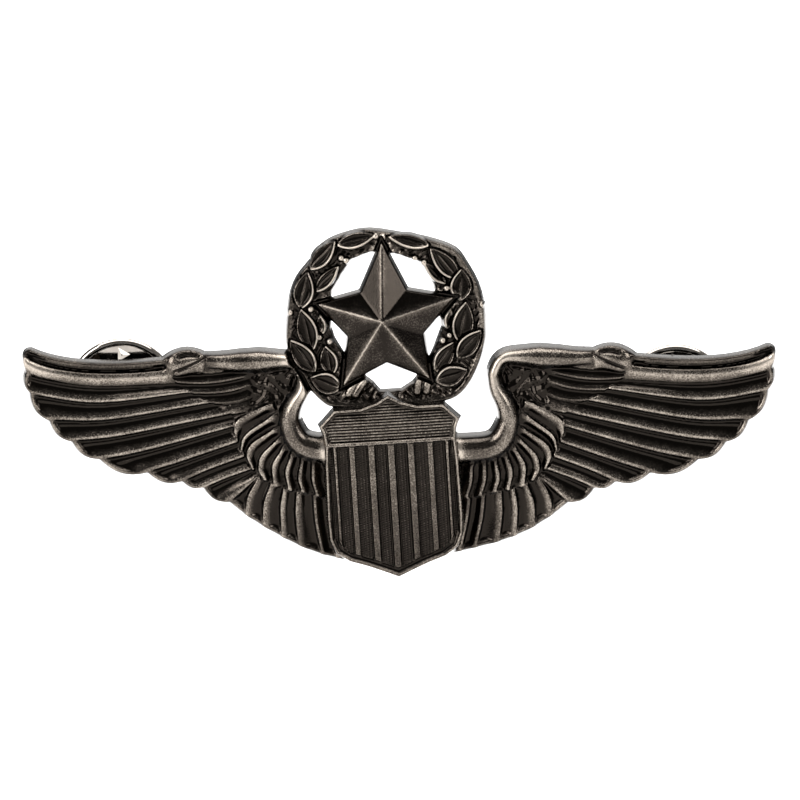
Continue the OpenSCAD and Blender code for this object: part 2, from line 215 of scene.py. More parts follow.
def contour_cells(inside):
    """Splits the grid's cells along the outline. Gives the faces and the outline's edges as vertex keys."""
    rows, cols = inside.shape
    corner = np.arange(rows * cols).reshape(rows, cols)
    keys = {
        "a": corner[:-1, :-1], "b": corner[:-1, 1:], "c": corner[1:, 1:], "d": corner[1:, :-1],
        "0": rows * cols + corner[:-1, :-1], "2": rows * cols + corner[1:, :-1],
        "3": 2 * rows * cols + corner[:-1, :-1], "1": 2 * rows * cols + corner[:-1, 1:],
    }
    case = inside[:-1, :-1] + 2 * inside[:-1, 1:] + 4 * inside[1:, 1:] + 8 * inside[1:, :-1]
    faces, rim = [], []
    for number, shapes in CELL_CASES.items():
        here = case == number
        for shape in shapes:
            loop = np.stack([keys[k][here] for k in shape], axis=1)
            faces.append(loop)
            for first, second in zip(shape, shape[1:] + shape[0]):
                if first.isdigit() and second.isdigit():
                    rim.append(np.stack([keys[first][here], keys[second][here]], axis=1))
    return faces, np.vstack(rim)


def wall_rise(depth, run):
    """The sloped and round-shouldered side wall of a casting, from 0 at its outline to 1."""
    t = np.clip(depth / run, 0, 1)
    return 1 - (1 - t) ** 1.9


def flat_triangles(points, edges, relief, solid, sockets):
    """Triangles that fill the flat back between its outline's edges, holes left open."""
    _, made_edges, triangles, origins, edge_origins, _ = delaunay_2d_cdt(points, edges, [], 0, 1e-7)
    fixed = {frozenset(e) for e, source in zip(made_edges, edge_origins) if source}
    beside = {}
    for n, tri in enumerate(triangles):
        for i in range(3):
            beside.setdefault(frozenset((tri[i], tri[(i + 1) % 3])), []).append(n)
    corners = np.array([[points[origins[i][0]] for i in tri] for tri in triangles])
    a, b = corners[:, 1] - corners[:, 0], corners[:, 2] - corners[:, 0]
    area = np.abs(a[:, 0] * b[:, 1] - a[:, 1] * b[:, 0])
    middle = corners.mean(axis=1)
    col = np.clip(np.rint((middle[:, 0] - relief.x[0, 0]) / relief.step).astype(int), 0, solid.shape[1] - 1)
    row = np.clip(np.rint((middle[:, 1] - relief.z[0, 0]) / relief.step).astype(int), 0, solid.shape[0] - 1)
    votes = np.sign(solid[row, col])
    for centre in sockets:
        votes[np.hypot(*(middle - centre).T) < SOCKET_RADIUS] = -1
    group = np.full(len(triangles), -1)
    kept = []
    for seed in range(len(triangles)):
        if group[seed] >= 0:
            continue
        group[seed] = seed
        members, queue = [seed], [seed]
        while queue:
            n = queue.pop()
            tri = triangles[n]
            for i in range(3):
                side = frozenset((tri[i], tri[(i + 1) % 3]))
                if side in fixed:
                    continue
                for m in beside[side]:
                    if group[m] < 0:
                        group[m] = seed
                        members.append(m)
                        queue.append(m)
        if np.sum(votes[members] * area[members]) > 0:
            kept += members
    return [[origins[i][0] for i in triangles[n]] for n in kept]


def relief_mesh(name, relief, outline, cut=None, back=0.0, run=0.5, lean=0.0, foot=(0, 0), sockets=()):
    """A closed casting: the front follows the relief, walls slope to the outline, and the back is flat."""
    solid = outline if cut is None else np.minimum(outline, cut)
    # A corner that lies almost on the outline is moved off it, so that no cut makes a sliver
    small = 0.08 * relief.step
    solid = np.where(np.abs(solid) < small, np.where(solid > 0, small, -small), solid)
    inside = solid > 0
    faces, rim = contour_cells(inside)
    count = inside.size
    rows, cols = inside.shape
    # A vertex is a grid corner, or the place where the outline cuts the grid edge beside or above one
    used, where = np.unique(np.concatenate([f.ravel() for f in faces]), return_inverse=True)
    kind, place = used // count, used % count
    first = place
    second = np.where(kind == 1, place + 1, np.where(kind == 2, place + cols, place))
    second = np.minimum(second, count - 1)
    s0, s1 = solid.ravel()[first], solid.ravel()[second]
    t = np.where(kind > 0, s0 / np.where(kind > 0, s0 - s1, 1), 0)

    def between(field):
        flat = field.ravel()
        return flat[first] + t * (flat[second] - flat[first])

    depth = between(outline)
    level = between(relief.height)
    height = LIP + (np.maximum(level, LIP) - LIP) * wall_rise(depth, run) + back
    on_wall = 1 - smoothstep(0.4 * run, run, depth)
    wear_and_shading = between(relief.wear_and_shading()) * (1 - on_wall) + WALL_WEAR * on_wall
    x, z = between(relief.x), between(relief.z)
    number = {key: i for i, key in enumerate(used)}
    total = len(used)
    rim_keys = np.unique(rim)
    rim_front = [number[k] for k in rim_keys]
    back_of = {front: total + i for i, front in enumerate(rim_front)}
    verts = np.column_stack([x, -height, z])
    back_verts = verts[rim_front].copy()
    back_verts[:, 1] = -back
    polygons = []
    start = 0
    for loop in faces:
        size = loop.size
        polygons += where[start : start + size].reshape(loop.shape).tolist()
        start += size
    # Walls join the front's edge to the back, which is flat but for the posts' sockets
    walls = []
    for p, q in rim:
        p, q = number[p], number[q]
        walls.append([q, p, back_of[p], back_of[q]])
    flat_points = [Vector((v[0], v[2])) for v in back_verts]
    flat_edges = [(back_of[number[p]] - total, back_of[number[q]] - total) for p, q in rim]
    extra = []
    for centre in sockets:
        base = len(flat_points)
        angles = np.arange(SOCKET_SIDES) * math.tau / SOCKET_SIDES
        ring = [centre + SOCKET_RADIUS * np.array([math.cos(a), math.sin(a)]) for a in angles]
        flat_points += [Vector(r) for r in ring]
        flat_edges += [(base + i, base + (i + 1) % SOCKET_SIDES) for i in range(SOCKET_SIDES)]
        extra += [(r[0], -back, r[1]) for r in ring]
    filled = flat_triangles(flat_points, flat_edges, relief, solid, sockets)
    back_faces = [[total + i for i in reversed(tri)] for tri in filled]
    all_verts = np.vstack([verts, back_verts] + ([np.array(extra)] if extra else []))
    socket_faces = []
    for n in range(len(sockets)):
        rim_start = total + len(back_verts) + SOCKET_SIDES * n
        floor_start = len(all_verts)
        floor_ring = all_verts[rim_start : rim_start + SOCKET_SIDES].copy()
        floor_ring[:, 1] = -SOCKET_DEPTH
        all_verts = np.vstack([all_verts, floor_ring])
        for i in range(SOCKET_SIDES):
            j = (i + 1) % SOCKET_SIDES
            socket_faces.append([rim_start + j, rim_start + i, floor_start + i, floor_start + j])
        socket_faces.append([floor_start + i for i in reversed(range(SOCKET_SIDES))])
    # The centre device leans about its foot
    turn = math.radians(lean)
    px, pz = all_verts[:, 0].copy(), all_verts[:, 2].copy()
    all_verts[:, 0] = foot[0] + px * math.cos(turn) - pz * math.sin(turn)
    all_verts[:, 2] = foot[1] + px * math.sin(turn) + pz * math.cos(turn)
    mesh = bpy.data.meshes.new(name)
    mesh.from_pydata((all_verts * MM).tolist(), [], polygons + walls + back_faces + socket_faces)
    mesh.validate()
    mesh.shade_smooth()
    mesh.set_sharp_from_angle(angle=math.radians(SHARP_ANGLE))
    attribute = mesh.attributes.new("wear_and_shading", "FLOAT", "POINT")
    full = np.full(len(mesh.vertices), PLAIN_WEAR)
    full[:total] = wear_and_shading
    attribute.data.foreach_set("value", full)
    piece = bpy.data.objects.new(name, mesh)
    bpy.context.scene.collection.objects.link(piece)
    return piece


# ---- Wings: the outline and its feathers, by distance outboard and height ----

ARM_LINE = [
    (22.0, 4.4), (17.0, 4.3), (12.4, 4.5), (10.4, 4.3), (9.55, 3.0), (9.6, 2.0), (9.9, 1.0), (10.5, 0.0),
    (10.9, -1.0), (11.0, -2.0), (10.4, -3.6), (9.3, -4.5), (7.5, -4.8), (5.5, -4.8),
]
ARM_HALF = [0.8, 0.9, 1.0, 1.2, 1.25, 1.0, 0.8, 0.8, 1.0, 1.2, 1.4, 1.5, 1.55, 1.5]

# Where the flight feathers part along the trailing edge, from the innermost one out to the wing tip
PARTINGS = [
    (17.2, -10.5), (19.9, -9.0), (22.0, -8.4), (25.5, -7.5), (30.4, -6.1), (33.2, -4.3), (35.5, -2.1),
    (37.5, 1.0), (37.9, 3.3),
]
LOBE_BULGE = 0.15
# The trailing edge up to the first parting, and the tip, dip and knuckle of the top edge, each as one bow
HEEL = [(5.5, -16.0), (12.2, -14.8), PARTINGS[0]]
TIP = [PARTINGS[-1], (38.545, 5.7), (37.1, 5.65)]
DIP = [(37.1, 5.65), (33.0, 3.7), (24.0, 4.65)]
KNUCKLE = [(24.0, 4.65), (21.9, 6.4), (19.6, 5.25)]

# How far under the wing's top edge the rim ends, the fine ridge runs and the topmost feather starts
RIM_DROP = 0.4
FINE_RIDGE_DROP = 0.75
TOP_FEATHER_DROP = 1.1
# The rest of each flight feather's lower edge, from beside its parting in to its root
FLIGHT_RUNS = [
    [(16.3, -9.8), (14.4, -8.0)],
    [(19.0, -8.6), (17.4, -7.9), (14.6, -6.9)],
    [(21.2, -8.0), (19.0, -7.0), (15.2, -5.6)],
    [(24.6, -7.1), (21.5, -6.1), (15.8, -4.1)],
    [(29.3, -5.9), (25.0, -5.0), (16.6, -2.6)],
    [(32.3, -4.1), (28.0, -3.6), (17.0, -1.3)],
    [(34.4, -2.0), (29.0, -1.9), (18.5, 0.0)],
    [(36.0, 0.6), (30.0, -0.1), (20.0, 1.2)],
    [(36.4, 2.5), (30.5, 1.6), (21.0, 2.0)],
]

# The outboard edges of the secondaries and of the coverts over them, from the shield outwards
SECONDARY_EDGES = [
    [(5.6, -9.6), (5.3, -12.0), (4.9, -15.4)], [(7.4, -9.6), (7.1, -12.4), (6.5, -15.2)],
    [(8.8, -9.6), (8.6, -12.0), (8.0, -14.9)], [(10.5, -9.3), (10.6, -11.5), (10.3, -14.3)],
    [(11.8, -8.9), (12.1, -10.8), (12.0, -13.4)], [(13.1, -8.4), (13.8, -10.3), (13.9, -12.6)],
    [(14.4, -7.8), (15.4, -9.6), (15.7, -11.4)],
]
COVERT_EDGES = [
    [(6.2, -6.5), (6.0, -8.0), (5.6, -9.6)], [(7.6, -6.6), (7.5, -8.2), (7.1, -9.6)],
    [(8.9, -6.4), (8.9, -8.0), (8.5, -9.4)], [(10.0, -6.1), (10.3, -7.7), (10.0, -8.9)],
    [(11.1, -5.6), (11.6, -7.1), (11.3, -8.7)], [(12.0, -4.9), (12.9, -6.4), (12.8, -8.2)],
    [(12.5, -3.9), (14.0, -5.4), (14.3, -6.9), (13.7, -8.0)],
    [(12.9, -2.8), (15.0, -4.2), (15.5, -5.5), (14.9, -6.8)],
    [(13.2, -1.5), (15.6, -3.3), (16.1, -4.9)], [(13.8, -0.3), (16.4, -1.7), (16.8, -3.3)],
]
COVERT_ZONE = [
    (12.7, 0.0), (14.0, -0.3), (15.4, -0.9), (16.5, -1.8), (16.85, -2.9), (16.3, -3.7), (16.15, -4.7),
    (15.6, -5.3), (15.45, -6.2), (14.9, -6.9), (14.3, -7.2), (13.8, -8.0), (12.9, -8.2), (12.5, -8.7),
    (11.5, -8.8), (11.0, -9.1), (10.0, -9.1), (9.4, -9.4), (8.4, -9.5), (7.8, -9.8), (6.8, -9.8),
    (5.0, -9.9), (5.0, -5.0), (8.0, -5.4), (10.0, -4.8), (11.5, -3.0), (12.0, -1.5),
]
# The small feathers under the wrist
WRIST_EDGES = [
    [(22.6, 3.1), (20.5, 3.0), (18.0, 3.2), (15.4, 3.7)],
    [(22.2, 2.0), (20.0, 1.9), (17.8, 2.1), (15.0, 2.7)],
    [(20.6, 0.9), (18.6, 0.9), (16.6, 1.2), (14.6, 1.9)],
    [(18.9, -0.2), (17.2, -0.2), (15.6, 0.1), (14.2, 0.8)],
]
WRIST_ZONE = [
    (23.0, 3.2), (22.7, 2.4), (21.9, 1.8), (20.7, 0.9), (19.0, 0.0), (17.0, -0.5), (14.4, -0.4), (14.0, 2.0),
    (14.6, 3.8), (19.0, 3.8),
]


def bow(a, b, c, steps=10):
    """A quadratic curve from a to c, without its last point."""
    a, b, c = (np.array(point, float) for point in (a, b, c))
    return [(1 - t) ** 2 * a + 2 * t * (1 - t) * b + t * t * c for t in np.arange(steps) / steps]


def lobe(a, b, steps=8):
    """The round end of a feather, from one parting to the next."""
    chord = np.array(b) - np.array(a)
    outwards = np.array([-chord[1], chord[0]]) * -LOBE_BULGE
    return [np.array(a) + t * chord + outwards * math.sin(math.pi * t) for t in np.arange(steps) / steps]


def wing_body():
    """The wing's outline: the feathers' round ends, the top edge, and the arm back to the shield."""
    ends = [point for a, b in zip(PARTINGS[:-1], PARTINGS[1:]) for point in lobe(a, b)]
    return bow(*HEEL) + ends + bow(*TIP) + bow(*DIP) + bow(*KNUCKLE) + [np.array(KNUCKLE[-1])] + ARM_LINE[2:]


def under_top_edge(drop):
    """A line a fixed drop below the dip of the wing's top edge, from the tip to the wrist."""
    return [point - (0, drop) for point in bow(*DIP) + [np.array(DIP[-1])]]


def flight_edges():
    """Each flight feather's lower edge, from the wing's top down."""
    lower = [[tip] + run for tip, run in zip(PARTINGS, FLIGHT_RUNS)]
    return [under_top_edge(TOP_FEATHER_DROP)] + lower[::-1]


def wing_places(relief):
    """The distance outboard and the height on the wing. The casting's right side rides a little higher."""
    u = np.abs(relief.x)
    lift = SIDE_LIFT * smoothstep(6, 12, u) * smoothstep(-4, 3, relief.z)
    lift += HEEL_LIFT * smoothstep(14, 7, u) * smoothstep(-9, -14, relief.z)
    return u, relief.z - np.sign(relief.x) * lift


def wing_outline_depth(u, w):
    arm = smooth_line(ARM_LINE, 4)
    arm_half = np.interp(np.linspace(0, 1, len(arm)), np.linspace(0, 1, len(ARM_HALF)), ARM_HALF)
    depth = inside_outline(wing_body(), u, w)
    dist, _, place = along(arm, u, w)
    return np.maximum(depth, np.interp(place, np.linspace(0, 1, len(arm)), arm_half) - dist)


def feather_rows(edges, u, w):
    """Where each feather lies, and each place's share of the way from its edge (0) to the next one's (1)."""
    fields = [along(smooth_line(e, 5), u, w) for e in edges]
    rows = []
    for (d0, s0, _), (d1, s1, _) in zip(fields[:-1], fields[1:]):
        rows.append(((s0 > 0) & (s1 < 0), d1 / (d0 + d1 + 1e-6)))
    return rows


def feather_section(share, crest, fall):
    """A feather's section: round on its crest, then a flat trough up to its neighbour."""
    return (0.2 + 0.8 * smoothstep(0.0, 0.6 * crest, share)) * (1 - smoothstep(crest, fall, share))


def outer_share(u):
    """1 on the outer wing, where the flight feathers are, and 0 further in."""
    return smoothstep(17, 21, u)


def raise_ridge(relief, u, w, line, half, rise, place_fade, rub_and_shading):
    """A round ridge along a line. Each end fades over its own share of the length, or not at all."""
    dist, _, place = along(line, u, w)
    e = np.clip(dist / half, 0, 1)
    fade = 1.0
    if place_fade[0] > 0:
        fade = fade * smoothstep(0, place_fade[0], place)
    if place_fade[1] > 0:
        fade = fade * smoothstep(0, place_fade[1], 1 - place)
    top = FLOOR_HEIGHT + rise * fade * (1 - e**2) ** 0.6
    relief.rub_and_shading = np.where((e < 1) & (top > relief.height), rub_and_shading, relief.rub_and_shading)
    relief.height = np.maximum(relief.height, np.where(e < 1, top, 0))


def raise_feathers(relief, u, w, edges, zone, base, rise, crest, fall, worn, upper=0.0, notch=0.2):
    """A row of feathers, each with a round crest, a flat trough and a groove beside its neighbour."""
    for here, share in feather_rows(edges, u, w):
        here = here & zone
        section = feather_section(share, crest, fall)
        groove = smoothstep(0.93, 1.0, share)
        upper_edge = np.exp(-(((share - 0.87) / 0.05) ** 2))
        profile = base + rise * section + upper * upper_edge - notch * groove
        relief.height = np.where(here, profile, relief.height)
        relief.rub_and_shading = np.where(here, worn * section - 0.12, relief.rub_and_shading)


def raise_border(relief, outline, half, rise, worn, *shares):
    """A raised line that follows the wing's edge, half a millimetre in, where all the shares are 1."""
    border = np.exp(-(((outline - 0.5) / half) ** 2))
    for share in shares:
        border = border * share
    relief.height = np.maximum(relief.height, FLOOR_HEIGHT + rise * border)
    relief.rub_and_shading = np.maximum(relief.rub_and_shading, worn * border - 0.12)


def raise_flight_feathers(relief, u, w, outline):
    """The long feathers, the border round the wing's tip, and the rim along its top."""
    edges = flight_edges()
    raise_feathers(
        relief, u, w, edges, outline > -1, FLOOR_HEIGHT, FEATHER_RISE, 0.26, 0.84, worn=0.12, upper=0.1
    )
    # The topmost one is a broad roll, fullest at its tip
    here, share = feather_rows(edges[:2], u, w)[0]
    swell = 1 + 0.45 * smoothstep(33, 37, u)
    roll = np.sin(np.pi * np.clip(1 - share, 0, 1) ** 0.72) ** 0.8
    relief.height = np.where(here, FLOOR_HEIGHT + 0.5 * swell * roll, relief.height)
    # A painted highlight: the roll is painted lighter near the wing tip
    relief.rub_and_shading = np.where(here, 0.2 * roll - 0.06 + 0.1 * smoothstep(34, 37, u), relief.rub_and_shading)
    raise_border(relief, outline, 0.26, 0.42, 0.14, outer_share(u), 1 - smoothstep(4.4, 5.0, w))
    raise_ridge(relief, u, w, under_top_edge(FINE_RIDGE_DROP), 0.26, 0.3, place_fade=(0.1, 0.1), rub_and_shading=-0.08)
    _, side, _ = along(under_top_edge(RIM_DROP), u, w)
    on_rim = (side < 0) & (u > 22.8) & (w > 3.5)
    relief.height = np.where(on_rim, FLOOR_HEIGHT + 0.45, relief.height)
    relief.rub_and_shading = np.where(on_rim, -0.06, relief.rub_and_shading)


def raise_inner_feathers(relief, u, w, outline):
    """The secondaries, the small feathers under the wrist, and the coverts."""
    below = w < np.interp(u, [5, 9, 13, 15, 16.5], [-9.3, -9.2, -8.0, -7.4, -7.2])
    zone = below & (outline > -1)
    raise_feathers(relief, u, w, SECONDARY_EDGES, zone, FLOOR_HEIGHT, FEATHER_RISE, 0.18, 0.75, worn=0.08)
    raise_border(relief, outline, 0.22, 0.34, 0.12, 1 - outer_share(u), w < -9)
    wrist = inside_outline(WRIST_ZONE, u, w) > 0
    rise = 0.3 * smoothstep(14.2, 16.4, u)
    raise_feathers(relief, u, w, WRIST_EDGES, wrist, FLOOR_HEIGHT + 0.1, rise, 0.3, 0.8, worn=0.03, notch=0.0)
    coverts = inside_outline(COVERT_ZONE, u, w)
    raise_feathers(relief, u, w, COVERT_EDGES, coverts > 0, FLOOR_HEIGHT + 0.12, 0.5, 0.16, 0.8, worn=0.06)
    # Painted shade: the feathers under the arm are painted darker inboard, towards the shield
    relief.rub_and_shading -= 0.16 * smoothstep(12.5, 7.5, u) * (w < -5)
    # The pitted hollow between the arm and the coverts
    hollow = smoothstep(15.6, 14.2, u) * (u > 9.5) * (w > -1.6) * (w < 4.2) * (coverts < 0)
    pits = np.sin(3.7 * u + 1.8 * np.sin(1.9 * w)) * np.sin(3.1 * w + 1.5 * np.sin(2.3 * u))
    pitted = FLOOR_HEIGHT + 0.2 * pits + 0.06 * np.sin(9.0 * u + 3 * pits) * np.sin(8.0 * w)
    relief.height = relief.height * (1 - hollow) + pitted * hollow
    relief.rub_and_shading = relief.rub_and_shading * (1 - hollow) - 0.26 * hollow


def raise_wrist_leaf(relief, u, w):
    """A folded leaf at the bend of the wing."""
    leaf = smooth_line([(18.8, 4.25), (20.5, 4.4), (22.35, 4.05)])
    raise_ridge(relief, u, w, leaf, half=1.4, rise=0.95, place_fade=(0.3, 0.0), rub_and_shading=0.0)
    from_hole, _, _ = along(smooth_line([(20.3, 4.95), (21.2, 5.05), (22.2, 4.85)]), u, w)
    hole = np.exp(-((from_hole / 0.22) ** 2))
    from_fold, _, _ = along(smooth_line([(22.7, 3.3), (20.8, 4.1), (18.8, 5.3)]), u, w)
    fold = np.exp(-((from_fold / 0.12) ** 2))
    relief.height -= 0.45 * hole + 0.3 * fold
    relief.rub_and_shading -= 0.3 * hole + 0.15 * fold


def raise_arm(relief, u, w):
    """A smooth round limb from the wrist to the shoulder and down to the shield."""
    dist, _, place = along(smooth_line(ARM_LINE, 6), u, w)
    half = np.interp(place, np.linspace(0, 1, len(ARM_HALF)), ARM_HALF) + 0.05
    e = np.clip(dist / half, 0, 1)
    crest = np.interp(place, [0, 0.15, 0.35, 0.5, 1.0], [1.6, 2.05, 2.45, ARM_HEIGHT, 2.45])
    limb = FLOOR_HEIGHT - 0.3 + (crest - FLOOR_HEIGHT + 0.3) * (1 - e**2) ** 0.62
    on_arm = (e < 1) & (place > 0.1) & (limb > relief.height)
    relief.height = np.where(on_arm, limb, relief.height)
    relief.rub_and_shading = np.where(on_arm, -0.03, relief.rub_and_shading)


def build_wings():
    relief = Relief((-SPAN / 2 - 0.4, -16.4), (SPAN / 2 + 0.4, 6.6), WINGS_STEP)
    u, w = wing_places(relief)
    outline = wing_outline_depth(u, w)
    relief.height[:] = FLOOR_HEIGHT
    raise_flight_feathers(relief, u, w, outline)
    raise_inner_feathers(relief, u, w, outline)
    raise_wrist_leaf(relief, u, w)
    raise_arm(relief, u, w)
    relief.soften(0.07)
    # The seat for the shield, and the web that joins the wings behind it
    shield_x, shield_z = to_device(relief.x, relief.z)
    under_shield = inside_outline(shield_outline(), shield_x, shield_z)
    seat = smoothstep(0.15, 0.27, under_shield)
    relief.height = relief.height * (1 - seat) + WEB * seat
    web = inside_outline(scaled_about(shield_outline(), (0, -8), 1 - 0.5 / 7), shield_x, shield_z)
    # A groove where the arms run under the wreath
    wreath_side = inside_outline(WREATH_POINTS, shield_x, shield_z)
    groove = smoothstep(-ARM_TUCK, 0.0, wreath_side)
    relief.height = relief.height * (1 - groove) + ARM_GROOVE * groove
    relief.rub_and_shading -= 0.1 * groove
    wings_only = np.minimum(outline, ARM_TUCK - wreath_side)
    cut = np.maximum(wings_only, web)
    solid = np.maximum(outline, web)
    return relief_mesh("wings_casting", relief, solid, cut, run=0.36, sockets=POST_PLACES)


# ---- The centre device: shield, wreath and star share a frame that leans to the left ----


def to_device(x, z):
    turn = math.radians(-DEVICE_LEAN)
    rx, rz = x - DEVICE_FOOT[0], z - DEVICE_FOOT[1]
    return rx * math.cos(turn) - rz * math.sin(turn), rx * math.sin(turn) + rz * math.cos(turn)


def scaled_about(points, centre, factor):
    p = np.asarray(points, float)
    return np.asarray(centre) + (p - np.asarray(centre)) * factor


def mirrored(half):
    """A closed outline from its right half, which starts and ends on the middle line."""
    half = np.asarray(half, float)
    return np.vstack([half, half[-2:0:-1] * (-1, 1)])


SHIELD_HALF = [
    (0, 1.1), (1.3, 0.35), (2.9, -0.15), (5.6, -0.2), (7.3, -1.9), (6.9, -2.8), (6.75, -3.8), (6.9, -6.0),
    (7.0, -11.5), (6.9, -13.6), (6.3, -15.1), (4.9, -16.0), (3.1, -16.6), (1.5, -17.25), (0, -17.88),
]
BAR_PLACES = [0, 2.0, 3.95, 5.65]
BAR_HALVES = [0.33, 0.32, 0.28, 0.13]
CHIEF_LINE = -3.95
CHIEF_PITCH = 0.3
DOT_PITCH = 0.32


def shield_outline():
    return mirrored(SHIELD_HALF)


WREATH_POINTS = [
    (-0.8, 17.7), (2.2, 17.1), (5.1, 16.4), (7.8, 15.2), (9.0, 13.4), (9.9, 11.5), (10.4, 9.3), (10.4, 7.0),
    (10.3, 5.6), (9.6, 3.4), (8.3, 1.1), (6.5, -0.3), (3.0, -0.7), (-2.5, -0.7), (-5.6, -0.4), (-6.9, 0.4),
    (-8.0, 1.8), (-8.6, 3.1), (-9.6, 4.7), (-10.0, 6.7), (-9.8, 8.9), (-9.4, 11.2), (-8.5, 13.2),
    (-7.0, 14.9), (-5.4, 16.6), (-3.3, 17.4),
]
WREATH_HOLE = [
    (0.4, 15.1), (1.9, 14.7), (4.0, 13.8), (5.2, 11.6), (5.6, 9.6), (5.8, 7.3), (4.8, 5.0), (3.9, 3.4),
    (2.6, 1.9), (1.4, 1.2), (-0.7, 1.2), (-1.4, 2.1), (-2.8, 3.3), (-4.0, 5.0), (-4.9, 6.7), (-5.2, 7.8),
    (-5.3, 9.8), (-4.8, 11.6), (-3.7, 13.2), (-2.7, 14.5), (-0.9, 15.1),
]


def star_outline():
    corners = []
    for i in range(10):
        reach = STAR_INNER if i % 2 else STAR_RADIUS + STAR_ARMS[i // 2]
        angle = math.radians(90 + 36 * i + STAR_TURN)
        corners.append((STAR_MIDDLE[0] + reach * math.cos(angle), STAR_MIDDLE[1] + reach * math.sin(angle)))
    return np.array(corners)


def build_shield():
    relief = Relief((-7.6, -17.9), (7.6, 1.4), SHIELD_STEP)
    u, w = relief.x, relief.z
    outline = inside_outline(shield_outline(), u, w)
    face = 1.45 + 0.3 * (1 - (u / 7.4) ** 2)
    relief.height = face.copy()
    rim = np.exp(-(((outline - 0.34) / 0.19) ** 2))
    field = smoothstep(0.62, 0.8, outline)
    # The chief's fine level ribs
    ribs = np.abs(np.cos(np.pi * (w - 0.1) / CHIEF_PITCH)) ** 1.2
    in_chief = field * smoothstep(CHIEF_LINE + 0.15, CHIEF_LINE + 0.25, w)
    relief.height += in_chief * (0.2 * ribs - 0.12)
    relief.rub_and_shading += in_chief * (0.4 * ribs - 0.17)
    # The upright bars with dotted bands between them
    in_pale = field * (1 - smoothstep(CHIEF_LINE - 0.25, CHIEF_LINE - 0.15, w))
    plain_foot = smoothstep(-13.2, -14.2, w) * smoothstep(1.1, 0.95, outline)
    in_pale *= 1 - plain_foot
    bars = np.zeros_like(u)
    for place, half in zip(BAR_PLACES, BAR_HALVES):
        for side in (-1, 1):
            bars = np.maximum(bars, 1 - smoothstep(half - 0.05, half + 0.08, np.abs(u - side * place)))
    columns = 0.5 + 0.5 * np.cos(np.pi * 2 * u / DOT_PITCH)
    dots = columns * (0.45 + 0.55 * np.cos(np.pi * w / 0.24 + np.round(u / DOT_PITCH) * 1.9) ** 2)
    relief.height += in_pale * (0.16 * bars + (1 - bars) * (0.16 * dots - 0.16))
    downwards = smoothstep(-5.0, -16.0, w)
    relief.rub_and_shading += in_pale * (-(0.02 + 0.14 * downwards) * bars - (1 - bars) * (0.22 - 0.18 * dots))
    relief.rub_and_shading -= 0.1 * downwards * (1 - in_pale)
    second_rim = np.exp(-(((outline - 1.0) / 0.1) ** 2)) * in_pale * (np.abs(u) > 5.0)
    relief.height += 0.1 * second_rim
    divider = np.exp(-(((w - CHIEF_LINE) / 0.17) ** 2)) * smoothstep(0.3, 0.5, outline)
    relief.height += 0.22 * divider * (1 - rim) + 0.3 * rim
    relief.soften(0.035)
    return relief_mesh(
        "shield_casting", relief, outline, back=WEB, run=0.24, lean=DEVICE_LEAN, foot=DEVICE_FOOT
    )


# Root, tip and half width of each laurel leaf: a leaf lies over those before it
LEAVES = [
    ((-6.1, 7.3), (-6.3, 9.4), 0.45), ((6.4, 7.0), (6.9, 9.2), 0.45), ((-6.6, 11.6), (-4.0, 14.2), 0.6),
    ((6.6, 11.6), (4.4, 14.0), 0.55), ((-4.2, 16.2), (-0.1, 17.0), 0.7), ((5.2, 15.6), (0.9, 16.8), 0.65),
    ((-7.0, 13.9), (-4.2, 16.7), 0.8), ((7.9, 12.0), (5.1, 15.4), 0.8), ((-8.2, 10.0), (-7.2, 13.8), 0.9),
    ((7.9, 9.8), (8.2, 13.1), 0.95), ((-7.2, 5.7), (-8.2, 10.1), 0.9), ((7.6, 5.5), (8.5, 9.8), 0.95),
    ((-5.4, 3.1), (-6.0, 6.2), 0.8), ((4.9, 2.8), (7.1, 5.8), 0.8), ((-7.1, 3.5), (-9.5, 7.0), 0.9),
    ((7.2, 4.0), (9.9, 6.8), 0.85), ((-4.6, 1.7), (-7.8, 3.0), 0.95), ((4.9, 1.8), (8.3, 2.8), 0.9),
]
BERRIES = [
    (-3.3, 14.6), (-3.8, 14.9), (-7.2, 9.9), (-9.3, 9.7), (-6.5, 7.0), (-5.5, 6.5), (3.6, 14.4), (4.5, 13.9),
    (6.6, 11.2), (10.1, 9.3), (6.6, 6.4), (5.9, 5.9), (-0.2, 16.9), (0.5, 16.7),
]
RIBBON = [
    ((-3.9, 1.0), (-3.1, 2.5)), ((-3.2, 0.9), (-2.3, 2.2)),
    ((3.0, 0.8), (3.2, 2.1)), ((3.9, 0.8), (4.2, 2.1)),
]
BERRY_RADIUS = 0.34


